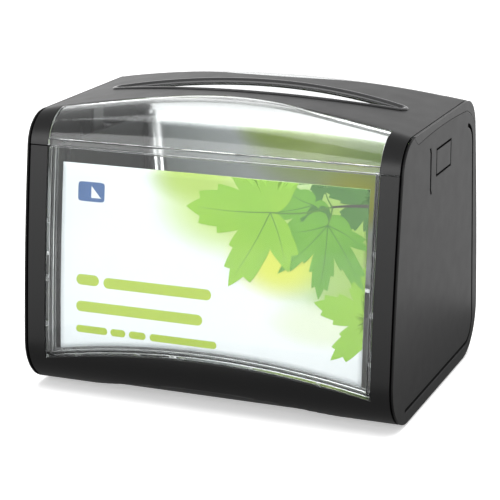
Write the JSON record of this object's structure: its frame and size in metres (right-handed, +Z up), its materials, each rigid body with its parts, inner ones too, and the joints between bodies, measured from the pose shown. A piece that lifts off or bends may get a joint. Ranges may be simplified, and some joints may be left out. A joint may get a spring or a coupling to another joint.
{
  "type": "napkin dispenser",
  "caption": "Tabletop napkin dispenser with clear card windows, a hinged lid with curved clear visors and a lens-shaped outlet on top.",
  "frame": {"origin": "middle of the footprint, on the plane the rubber feet stand on", "axes": "+X to the right along the long side, +Y to the back where the lid is hinged, +Z up"},
  "size_m": [0.201, 0.151, 0.1557],
  "materials": {
    "black_plastic": "satin moulded black with a fine grain",
    "rim_plastic": "polished black rolled lip",
    "clear_plastic": "clear polished styrene",
    "printed_card": "printed card with leaves",
    "steel": "plain",
    "spring_steel": "drawn wire",
    "rubber": "moulded"
  },
  "bodies": {
    "housing": {"button_spring_left": "spring_steel", "button_spring_right": "spring_steel", "chassis": "black_plastic", "foot_front_left": "rubber", "foot_front_right": "rubber", "foot_rear_left": "rubber", "foot_rear_right": "rubber", "frame_screws": "steel", "front_card": "printed_card", "front_frame": "black_plastic", "front_window": "clear_plastic", "hinge_pin_left": "steel", "hinge_pin_right": "steel", "napkin_guide_front_left": "black_plastic", "napkin_guide_front_right": "black_plastic", "napkin_guide_rear_left": "black_plastic", "napkin_guide_rear_right": "black_plastic", "napkin_tray": "black_plastic", "rear_card": "printed_card", "rear_frame": "black_plastic", "rear_window": "clear_plastic", "side_panel_left": "black_plastic", "side_panel_right": "black_plastic"},
    "lid": {"top_cap": "black_plastic", "outlet_rim": "rim_plastic", "front_visor": "clear_plastic", "rear_visor": "clear_plastic", "lid_catch_left": "black_plastic", "lid_catch_right": "black_plastic"},
    "button_left": {"release_button_left": "black_plastic"},
    "button_right": {"release_button_right": "black_plastic"}
  },
  "joints": [
    {"name": "lid_hinge", "type": "hinge", "parent": "housing", "child": "lid", "pos_m": [0, 0.0644, 0.13], "axis": [-1, 0, 0], "range_deg": [0, 100]},
    {"name": "left_button_press", "type": "slide", "parent": "housing", "child": "button_left", "axis": [1, 0, 0], "range_m": [0, 0.0035], "stiffness_N_per_m": 400, "springref_m": -0.002, "deforming": ["button_spring_left"]},
    {"name": "right_button_press", "type": "slide", "parent": "housing", "child": "button_right", "axis": [-1, 0, 0], "range_m": [0, 0.0035], "stiffness_N_per_m": 400, "springref_m": -0.002, "deforming": ["button_spring_right"]}
  ]
}
